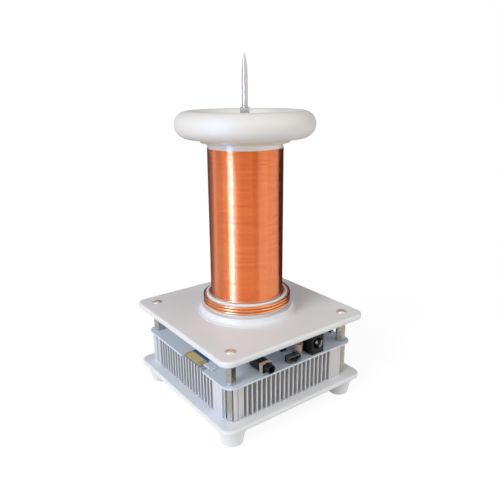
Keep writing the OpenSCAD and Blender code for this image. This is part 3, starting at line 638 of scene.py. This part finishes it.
def reservoir_capacitor():
    """The electrolytic: a sleeved can with a rolled neck and a bare aluminium top."""
    low, high = span("reservoir_capacitor")
    middle, radius, height = (low + high) / 2, (high.x - low.x) / 2, high.z - low.z
    lip, top = radius - 0.9, height - 0.35
    bm = lathe([(0, 0), (radius - 0.5, 0, 0.2), (radius, 0.6, 0.3), (radius, 1.2), (radius - 0.35, 1.7, 0.3),
                (radius, 2.2), (radius, height - 0.1, 0.5), (lip, height), (radius - 1.0, top), (0, top)], 56)
    for face in bm.faces:
        centre = face.calc_center_median()
        face.material_index = 1 if centre.z > height - 0.5 and centre.xy.length < lip else 0
    for bearing in (0, 120, 240):
        groove = box((0, -0.12, height - 0.4), (2.6, 0.12, height - 0.28))
        join(bm, groove, turn=about_z(bearing), index=1)
    moved(bm, (middle.x, middle.y, low.z))
    piece("sleeved_electrolytic", bm, [SLEEVE, ALUMINIUM], ["reservoir_capacitor"])


def film_capacitor():
    """The dipped film capacitor, on two short tinned leads."""
    low, high = span("film_capacitor")
    bm = box((low.x, low.y, low.z + 0.4), high, 1.6, 5)
    for x in (low.x + 2.5, high.x - 2.5):
        join(bm, cylinder(0.35, 0, 1.2, 16), (x, (low.y + high.y) / 2, low.z), index=1)
    piece("dipped_film_capacitor", bm, [EPOXY, TIN], ["film_capacitor"])


def feedback_ring():
    """The ring that senses the current in the earthed lead."""
    low, high = span("feedback_ring")
    outer, inner = (high.x - low.x) / 2, 4
    bm = lathe([(inner, low.z, 0.7), (outer, low.z, 0.9), (outer, high.z, 0.9), (inner, high.z, 0.7)], 64)
    piece("current_sense_ring", bm, [FERRITE], ["feedback_ring"])


def terminal_block():
    """The primary's terminal block: two lead holes and two slotted clamp screws."""
    low, high = span("primary_terminals")
    top, over, screw_y = high.z, high.z + PAST, low.y + 2
    holes = bmesh.new()
    for x, y in LEADS:
        join(holes, cylinder(LEAD_HOLE_R, top - 3, over, 20), (x, y, 0))
        join(holes, cylinder(1.6, top - 1.2, over, 28), (x, screw_y, 0))
    bm = carve(box(low, high, 0.35), holes)
    for x, _ in LEADS:
        head = carve(cylinder(1.5, top - 1.3, top - 0.5, 28), box((-2, -0.22, top - 0.9), (2, 0.22, top)))
        join(bm, head, (x, screw_y, 0), index=1)
    piece("primary_terminal_block", bm, [GREEN, ZINC], ["primary_terminals"])


# Radio module

def radio_module():
    """The module: a navy board whose bare end carries a folded aerial, and solder pads at its sides."""
    low, high = span("radio_module")
    split, end = low.x + 6.4, low.x + 1.2
    bm = box((split, low.y, low.z), high, 0.06)
    join(bm, box((end, low.y, low.z), (split, high.y, high.z), 0.06), index=1)
    piece("module_board", bm, [NAVY, AERIAL], ["radio_module"])
    track = bmesh.new()
    runs, width, pitch = 4, 0.5, 1.1
    near, far, sunk = low.y + 2.2, high.y - 2.2, high.z - 0.01
    for run in range(runs):
        x = end + 0.6 + run * pitch
        join(track, box((x, near, sunk), (x + width, far, high.z + 0.04)))
        if run < runs - 1:
            y = near if run % 2 else far - width
            join(track, box((x, y, sunk), (x + pitch + width, y + width, high.z + 0.045)))
    piece("folded_aerial", track, [TRACK])
    pads = bmesh.new()
    first, pitch, half = split + 1.6, 2.0, 0.5
    for number in range(8):
        x = first + number * pitch
        for y in (low.y, high.y):
            join(pads, box((x - half, y - 0.45, low.z - 0.02), (x + half, y + 0.45, low.z + 0.3), 0.14))
            join(pads, box((x - half, y - 0.04, low.z), (x + half, y + 0.04, high.z + 0.03), 0.02))
    piece("module_solder_pads", pads, [TIN])


def module_shield():
    """The folded can over the module's chip."""
    low, high = span("module_shield")
    bm = box(low, high, 0.28, 3)
    rim = carve(box((low.x + 1.1, low.y + 1.1, high.z - 0.02), (high.x - 1.1, high.y - 1.1, high.z + 0.01)),
                box((low.x + 1.3, low.y + 1.3, high.z - PAST), (high.x - 1.3, high.y - 1.3, high.z + PAST)))
    join(bm, rim)
    piece("module_can", bm, [TINNED], ["module_shield"])


# Connectors

def audio_jack():
    """The audio jack: a low black body with a round nose and socket, in its metal collar."""
    low, high = span("audio_jack")
    nose_len, nose_r, bore_r, body_height = 3.7, 2.55, 1.8, 5
    front = low.y + nose_len
    place = ((low.x + high.x) / 2, front, low.z + 3.05)
    bm = box((low.x, front, low.z), (high.x, high.y, low.z + body_height), 0.2)
    nose = lathe([(0, -0.3), (nose_r, -0.3), (nose_r, nose_len, 0.35), (0, nose_len)], 48)
    bm = carve(bm, moved(nose, place, TO_FRONT), "UNION")
    bore = lathe([(0, -8.3), (bore_r, -8.3), (bore_r, nose_len - 0.25), (2.05, nose_len), (2.05, 5),
                  (0, 5)], 40)
    bm = carve(bm, moved(bore, place, TO_FRONT))
    piece("audio_socket_body", bm, [BLACK], ["audio_jack"])
    feet = bmesh.new()
    for y in (front + 1.2, high.y - 3):
        for x in (low.x, high.x):
            join(feet, box((x - 1.2, y - 0.4, low.z), (x + 1.2, y + 0.4, low.z + 0.2), 0.05))
    low, high = span("audio_collar")
    wall = 0.3
    collar = box(low, (high.x, high.y + 0.6, high.z), 0.12)
    inner = box((low.x + wall, low.y - PAST, low.z - PAST), (high.x - wall, high.y + PAST, high.z - wall))
    piece("pressed_collar", carve(collar, inner), [BRASS], ["audio_collar"])
    piece("audio_solder_feet", feet, [TIN])


def mode_switch():
    """The slide switch: a folded shell with a window, its black base and its slider."""
    low, high = span("switch_shell")
    wall, middle = 0.3, (low + high) / 2
    half_width, half_height = 2.05, 0.9
    shell = box(low, (high.x, high.y + 0.3, high.z), 0.25, 3)
    inner = box((low.x + wall, low.y + wall, low.z + wall), (high.x - wall, high.y + PAST, high.z - wall))
    window = box((middle.x - half_width, low.y - PAST, middle.z - half_height),
                 (middle.x + half_width, low.y + PAST, middle.z + half_height))
    trim = box((low.x - PAST, high.y, low.z - PAST), (high.x + PAST, high.y + 2, high.z + PAST))
    for tool in (inner, window, trim):
        shell = carve(shell, tool)
    # The shell's steel has painted glints in its colour.
    piece("folded_switch_shell", shell, [PAINTED_GLINT_STEEL], ["switch_shell"])
    legs = bmesh.new()
    for step in range(4):
        x = low.x + 1.1 + step * 2.1
        join(legs, box((x - 0.4, low.y - 1.2, low.z), (x + 0.4, low.y + 0.1, low.z + 0.3), 0.08))
    for x in (low.x, high.x):
        join(legs, box((x - 0.9, low.y + 0.8, low.z), (x + 0.9, low.y + 1.7, low.z + 0.3), 0.08))
    piece("switch_solder_legs", legs, [TIN])
    low, high = span("switch_base")
    piece("switch_base_moulding", box(low, high, 0.15), [BLACK], ["switch_base"])
    low, high = span("mode_slider")
    middle, carriage_front = (low + high) / 2, high.y - 1.7
    bm = box((low.x, carriage_front, low.z), high, 0.12)
    knob = box((middle.x - 0.9, low.y, middle.z - 0.75),
               (middle.x + 0.9, carriage_front + 0.5, middle.z + 0.75), 0.16)
    for offset in (-0.45, 0, 0.45):
        x = middle.x + offset
        groove = box((x - 0.08, low.y - PAST, low.z - PAST), (x + 0.08, low.y + 0.15, high.z + PAST))
        knob = carve(knob, groove)
    piece("ribbed_slider", carve(bm, knob, "UNION"), [BLACK], ["mode_slider"], body="slider")


def power_jack():
    """The power jack: a square black body, a stepped round socket, a spring contact and its pin."""
    low, high = span("dc_jack")
    place = ((low.x + high.x) / 2, low.y, low.z + 6.4)
    floor, bore_r, mouth_r, step = -9.5, 3.2, 3.7, -0.5
    bore = lathe([(0, floor), (bore_r, floor), (bore_r, step), (mouth_r, step), (mouth_r, -0.15), (3.9, 0),
                  (3.9, PAST), (0, PAST)], 56)
    bm = carve(box(low, high, 0.3, 3), moved(bore, place, TO_FRONT))
    piece("power_jack_body", bm, [BLACK], ["dc_jack"])
    pin = lathe([(0, floor), (1.0, floor), (1.0, -0.8, 0.55), (0, -0.8)], 32)
    piece("power_jack_pin", moved(pin, place, TO_FRONT), [NICKEL], ["dc_pin"])
    spring = bmesh.new()
    outline = ((2.9, -8.8), (3.15, -8.8), (3.15, -0.48), (3.62, -0.48), (3.62, -0.2), (2.9, -0.2))
    corners = [spring.verts.new((r, 0, z)) for r, z in outline]
    ring = [spring.edges.new((corners[i - 1], corners[i])) for i in range(len(corners))]
    bmesh.ops.spin(spring, geom=corners + ring, cent=(0, 0, 0), axis=UP, angle=radians(80), steps=12)
    moved(close_ends(spring), place, TO_FRONT @ about_z(-65))
    piece("power_jack_spring", spring, [TIN])


def choke():
    """The drum choke: a coated bobbin with a pinkish top and one layer of pinkish wire."""
    low, high = span("choke_core")
    place = ((low.x + high.x) / 2, (low.y + high.y) / 2, low.z)
    height, radius, neck, rim = high.z - low.z, (high.x - low.x) / 2, 1.5, 0.9
    core = lathe([(0, 0), (radius, 0, 0.15), (radius, rim, 0.2), (neck, rim), (neck, height - rim),
                  (radius, height - rim, 0.2), (radius, height, 0.2), (0, height)], 48)
    for face in core.faces:
        face.material_index = 1 if face.calc_center_median().z > height - rim - 0.05 else 0
    piece("choke_bobbin", moved(core, place), [PALE_FERRITE, PALE_COPPER], ["choke_core"])
    wire = close_winding(2.7, rim, height - rim, 0.4, 32)
    piece("choke_turns", moved(wire, place), [PALE_COPPER], ["choke_winding"], smooth=60)


# Coils

def close_winding(radius, low, high, pitch, steps):
    """Turns of wire side by side, from low to high, with their outermost line at a radius."""
    half = pitch / 2
    turn = bmesh.new()
    arc = [turn.verts.new((radius - half + half * cos(radians(a)), 0, half + half * sin(radians(a))))
           for a in (-90, -45, 0, 45, 90)]
    ring = [turn.edges.new((arc[i - 1], arc[i])) for i in range(len(arc))]
    bmesh.ops.spin(turn, geom=arc + ring, cent=(0, 0, 0), axis=UP, dvec=(0, 0, pitch / steps), angle=2 * pi,
                   steps=steps)
    mesh = as_mesh("work", turn)
    mesh.transform(Matrix.Translation((0, 0, low)))
    whole = bmesh.new()
    for _ in range(int((high - low - pitch) / pitch)):
        whole.from_mesh(mesh)
        mesh.transform(Matrix.Translation((0, 0, pitch)))
    bpy.data.meshes.remove(mesh)
    bmesh.ops.remove_doubles(whole, verts=whole.verts, dist=SAME)
    return close_ends(whole)


def secondary_coil():
    """The tall winding. Real wire of 0.2 mm is too fine to show, so its turns are 0.35 mm apart."""
    low, high = span("secondary_winding")
    bm = close_winding((high.x - low.x) / 2, low.z, high.z, 0.35, 48)
    # The winding's orange bands are painted light and shade.
    piece("secondary_turns", bm, [WINDING], ["secondary_winding"], smooth=60)
    low, high = span("secondary_tube")
    bore_r, tube_r = 19, 21
    tube = lathe([(bore_r, low.z, 0.2), (tube_r, low.z, 0.2), (tube_r, high.z, 0.2),
                  (bore_r, high.z, 0.2)], 96)
    piece("winding_tube", tube, [PVC], ["secondary_tube"])
    rim, wire_r = span("primary_former")[1].z, 0.42
    end = bmesh.new()
    bmesh.ops.create_circle(end, cap_ends=False, segments=12, radius=wire_r)
    moved(end, (21.7, 0, rim + wire_r), TO_FRONT)
    revolve(end, 96)
    piece("winding_end_turn", end, [COPPER], smooth=60)


def primary_coil():
    """The primary: up from its terminal, three turns and a little more, in to the wall and down."""
    wire_r, bend, small_bend = 0.65, 1.05, 0.7
    turn_z, rise = 58.84, 1.73
    # The turns end at this bearing. The bend before them and the one after each take up bend_angle.
    last_bearing = 80
    bend_angle = TOP_LEAD_TURN - last_bearing
    sweep = 3 * 360 + last_bearing - LOW_LEAD_TURN - bend_angle
    bottom = span("primary_leads")[0].z
    start, end = radians(LOW_LEAD_TURN), radians(TOP_LEAD_TURN)
    out = Vector((cos(start), sin(start), 0))
    along = Vector((-sin(start), cos(start), 0))
    foot = out * LOW_LEAD_R
    bm = bmesh.new()
    bmesh.ops.create_circle(bm, cap_ends=False, segments=16, radius=wire_r)
    bmesh.ops.translate(bm, vec=foot + UP * bottom, verts=bm.verts)
    ring = bm.edges[:]

    def straight(ring, step):
        grown = bmesh.ops.extrude_edge_only(bm, edges=ring)["geom"]
        bmesh.ops.translate(bm, vec=step, verts=[g for g in grown if isinstance(g, bmesh.types.BMVert)])
        return [g for g in grown if isinstance(g, bmesh.types.BMEdge) and g.is_boundary]

    def curved(ring, centre, axis, angle, steps=8, climb=0.0):
        verts = list({v for edge in ring for v in edge.verts})
        last = bmesh.ops.spin(bm, geom=verts + ring, cent=centre, axis=axis, dvec=(0, 0, climb / steps),
                              angle=angle, steps=steps)["geom_last"]
        return [g for g in last if isinstance(g, bmesh.types.BMEdge)]

    def middle_of(ring):
        return sum((v.co for edge in ring for v in edge.verts), Vector()) / (2 * len(ring))

    ring = straight(ring, UP * (turn_z - bend - bottom))
    ring = curved(ring, foot + along * bend + UP * (turn_z - bend), -out, radians(90))
    ring = curved(ring, (0, 0, 0), UP, radians(sweep), 3 * 72, rise * sweep / 360)
    middle = middle_of(ring)
    inward = -Vector((middle.x, middle.y, 0)).normalized()
    ring = curved(ring, middle + inward * bend, UP, radians(90))
    inward = -Vector((cos(end), sin(end), 0))
    ring = straight(ring, inward * (LOW_LEAD_R - bend - TOP_LEAD_R - small_bend))
    middle = middle_of(ring)
    ring = curved(ring, middle - UP * small_bend, UP.cross(inward), radians(90))
    straight(ring, UP * (bottom - middle.z + small_bend))
    piece("primary_turns", close_ends(bm), [COPPER], ["primary_winding", "primary_leads"],
          smooth=60)


def former():
    """The white former: a skirt that sweeps up to the flange, the wall inside the primary and its rim."""
    low, high = span("primary_former")
    base, floor, flange, rim = low.z, low.z + 2.2, low.z + 3.8, high.z
    hole_r, skirt_r, wall_r, socket_r = 5, 27.3, 24.2, 21.3
    skirt = [(skirt_r + 2.5 * (1 + cos(radians(a))), base + 0.4 + 3.4 * (1 + sin(radians(a))))
             for a in range(270, 185, -12)]
    bm = lathe([(hole_r, base), (29.8, base), *skirt, (skirt_r, flange, 0.35), (wall_r, flange),
                (wall_r, rim, 0.7), (22.7, rim, 0.2), (22.7, rim - 0.8), (socket_r, rim - 0.8, 0.15),
                (socket_r, floor), (hole_r, floor)], 128)
    (low_x, low_y), (top_x, top_y) = LEADS
    cutters = bmesh.new()
    join(cutters, cylinder(LEAD_HOLE_R, base - PAST, flange + PAST, 20), (low_x, low_y, 0))
    join(cutters, box((20.8, -2, 63.1), (25.5, 2, rim + 2)), turn=about_z(TOP_LEAD_TURN))
    bm = carve(bm, cutters)
    bm = carve(bm, moved(cylinder(LEAD_HOLE_R, base - PAST, rim + PAST, 20), (top_x, top_y, 0)))
    piece("coil_former", bm, [BRIGHT_ABS], ["primary_former"])


# Top load

def top_load():
    """The cap, the spun toroid with its web, the hexagonal spacer and the needle."""
    low, high = span("tube_cap")
    seat, plug_r, radius = span("secondary_tube")[1].z, 18.9, (high.x - low.x) / 2
    cap = lathe([(M3_HOLE_R, low.z), (plug_r, low.z, 0.3), (plug_r, seat), (radius, seat, 0.45),
                 (radius, high.z, 0.55), (M3_HOLE_R, high.z)], 128)
    # The cap's yellowish tint paints the olive shade line under the toroid.
    piece("moulded_cap", cap, [SHADE_TINTED_IVORY], ["tube_cap"])
    low, high = span("toroid_lower_shell")
    foot, middle_z, ring = low.z, span("toroid_upper_shell")[0].z, 7.2
    centre, web = (high.x - low.x) / 2 - ring, foot + 0.8
    arc = [(centre + ring * cos(radians(a)), middle_z + ring * sin(radians(a))) for a in range(-90, 243, 6)]
    toroid = lathe([(M3_HOLE_R, foot), *arc, (28.2, web, 0.8), (M3_HOLE_R, web)], 160)
    piece("spun_toroid", toroid, [PAINT], ["toroid_lower_shell", "toroid_upper_shell"],
          smooth=50)
    low, high = span("needle_spacer")
    top = high.z
    spacer = moved(hex_bar(top - low.z, 0.3), (0, 0, low.z), about_z(-10))
    piece("hexagonal_spacer", spacer, [NICKEL], ["needle_spacer"])
    low, high = span("discharge_needle")
    tip, needle_r, collar_r = high.z, 1.5, 1.9
    needle = lathe([(0, low.z), (needle_r, low.z), (needle_r, tip - 10.6, 2.0), (1.35, tip - 6.9, 1.5),
                    (0.87, tip - 3.2, 1.2), (0.25, tip - 0.25, 0.12), (0, tip)], 48)
    collar = lathe([(0, top), (collar_r, top, 0.15), (collar_r, top + 0.5, 0.2), (0, top + 0.5)], 40)
    piece("ground_needle", combined([needle, collar]), [STEEL], ["discharge_needle"])


base_plate()
top_plate()
standoffs()
screws()
fin_panels()
power_transistors()
circuit_board()
small_parts()
driver_chip()
input_diode()
reservoir_capacitor()
film_capacitor()
feedback_ring()
terminal_block()
radio_module()
module_shield()
audio_jack()
mode_switch()
power_jack()
choke()
secondary_coil()
primary_coil()
former()
top_load()
dress("insulating_pads", SILICONE)
dress("transistor_screws", ZINC)
dress("spacer_screw", ZINC)
dress("ground_lead", COPPER)
dress("top_lead", COPPER)


# Floor, light and camera

# Sectors round the coil, in degrees round Z from +X (the camera stands at 234), with colour and strength
CARDS = {"back_left_card": (56, 98, "#6A5A5C", 1), "left_edge_card": (98, 117, "#A09694", 1),
         "left_bright_card": (117, 134, "#F0EEF4", 1.15), "left_card": (134, 158, "#D4D2D0", 1),
         "left_glow_card": (158, 196, "#EDEBF0", 1.2), "near_glow_card": (196, 216, "#EDEBF0", 1.2),
         "front_card": (216, 272, "#DECBB6", 1.2), "right_bright_card": (272, 302, "#DCE8FF", 1.65),
         "right_card": (302, 350, "#E0E4EE", 1.3), "back_right_card": (350, 416, "#4A302E", 1)}
# Each card lies along the floor from the base outwards and then stands up, as (radius, height) in metres.
CARD_SHAPE = [(0.08, 0.003), (0.8, 0.003), (0.8, 1.4)]
# The tall bright strip that draws the white line down the coil
STRIP = {"strip_box": (180, 196, "#92B0FF", 19)}
STRIP_SHAPE = [(0.24, 0.0035), (0.79, 0.0035), (0.79, 1.4)]
# Three cards lie close to the base: grey ones at its sides and a dark one in front of the connectors.
NEAR_CARDS = {"near_left_card": (120, 250, "#D6D6D1", 1), "near_dark_card": (258, 302, "#332E28", 1),
              "near_right_card": (300, 350, "#D8D6CC", 1)}
NEAR_SHAPE = [(0.075, 0.004), (0.22, 0.004)]
# The camera's place in metres and its yaw, pitch and roll in degrees, as fitted to the photograph
CAMERA_PLACE = (-0.17149, -0.23419, 0.1809)
CAMERA_TURNS = (36.61, 17.06, -0.48)


def seen_rays(tree):
    """1 for the rays that should meet the white background: camera, mirror and glass rays."""
    path = add(tree, "ShaderNodeLightPath")
    first = add(tree, "ShaderNodeMath", {"operation": "ADD", "use_clamp": True},
                {0: path.outputs["Is Camera Ray"], 1: path.outputs["Is Glossy Ray"]})
    both = add(tree, "ShaderNodeMath", {"operation": "ADD", "use_clamp": True},
               {0: first.outputs[0], 1: path.outputs["Is Transmission Ray"]})
    return both.outputs[0]


def studio_floor():
    """A pale matt floor that keeps the object's soft shadow."""
    material, tree = blank("pale floor")
    share = add(tree, "ShaderNodeMath", {"operation": "MULTIPLY", 1: 0.78}, {0: seen_rays(tree)})
    matt = add(tree, "ShaderNodeBsdfDiffuse", {"Color": linear("#EBEBEB")})
    white = add(tree, "ShaderNodeEmission", {"Strength": 1.12})
    mixed = add(tree, "ShaderNodeMixShader", None,
                {0: share.outputs[0], 1: matt.outputs[0], 2: white.outputs[0]})
    add(tree, "ShaderNodeOutputMaterial", None, {"Surface": mixed.outputs[0]})
    bm = bmesh.new()
    bmesh.ops.create_grid(bm, x_segments=4, y_segments=4, size=4)
    mesh = as_mesh("studio_floor", bm)
    mesh.materials.append(material)
    floor = placed("studio_floor", mesh)


def studio_cards(cards, shape):
    """Grey and white cards round the object, out of sight, for the metal to reflect."""
    for name, (start, end, code, strength) in cards.items():
        material, tree = blank(name)
        glow = add(tree, "ShaderNodeEmission", {"Color": linear(code), "Strength": strength})
        add(tree, "ShaderNodeOutputMaterial", None, {"Surface": glow.outputs[0]})
        bm = bmesh.new()
        corners = [bm.verts.new((r, 0, z)) for r, z in shape]
        for pair in zip(corners, corners[1:]):
            bm.edges.new(pair)
        moved(bm, turn=about_z(start))
        bmesh.ops.spin(bm, geom=bm.verts[:] + bm.edges[:], cent=(0, 0, 0), axis=UP,
                       angle=radians(end - start), steps=12)
        mesh = as_mesh(name, bm)
        mesh.materials.append(material)
        card = placed(name, mesh)
        card.visible_camera = False
        card.visible_diffuse = False
        card.visible_shadow = False


def lamp(name, bearing, height, width, strength, code):
    """A far soft light, as wide as an angle in degrees. The cards give the shine, so it gives none."""
    data = bpy.data.lights.new(name, "SUN")
    data.angle = radians(width)
    data.energy = strength
    data.color = linear(code)[:3]
    made = placed(name, data)
    way = Vector((*polar(cos(radians(height)), bearing), sin(radians(height))))
    made.matrix_world = Matrix.Translation(way) @ (-way).to_track_quat("-Z", "Y").to_matrix().to_4x4()
    made.visible_glossy = False


def studio_light():
    """A soft key low on the left, a broad fill on the right and an even surround."""
    lamp("left_key", 186, 30, 30, 2.12, "#FFFFFF")
    lamp("right_fill", 305, 18, 60, 1.06, "#FFF1E4")
    world = bpy.data.worlds.new("studio surround")
    bpy.context.scene.world = world
    world.use_nodes = True
    tree = world.node_tree
    tree.nodes.clear()
    soft = add(tree, "ShaderNodeBackground", {"Color": linear("#F6F6F8"), "Strength": 0.45})
    white = add(tree, "ShaderNodeBackground", {"Color": linear("#FFFFFF"), "Strength": 1.0})
    mixed = add(tree, "ShaderNodeMixShader", None,
                {0: seen_rays(tree), 1: soft.outputs[0], 2: white.outputs[0]})
    add(tree, "ShaderNodeOutputWorld", None, {"Surface": mixed.outputs[0]})


def camera():
    """The camera at the photograph's place."""
    yaw, pitch, roll = (radians(turn) for turn in CAMERA_TURNS)
    ahead = Vector((sin(yaw) * cos(pitch), cos(yaw) * cos(pitch), -sin(pitch)))
    right = Vector((cos(yaw), -sin(yaw), 0))
    up = right.cross(ahead)
    side = right * cos(roll) + up * sin(roll)
    top = up * cos(roll) - right * sin(roll)
    data = bpy.data.cameras.new("photo_camera")
    data.sensor_width = 36
    data.lens = 37.30
    data.shift_x = 0.0005
    data.shift_y = -0.0085
    data.clip_start = 0.01
    made = placed("photo_camera", data)
    turn = Matrix((side, top, -ahead)).transposed().to_4x4()
    made.matrix_world = Matrix.Translation(CAMERA_PLACE) @ turn
    bpy.context.scene.camera = made


studio_floor()
studio_cards(CARDS, CARD_SHAPE)
studio_cards(STRIP, STRIP_SHAPE)
studio_cards(NEAR_CARDS, NEAR_SHAPE)
studio_light()
camera()
bpy.context.scene.view_settings.view_transform = "Standard"
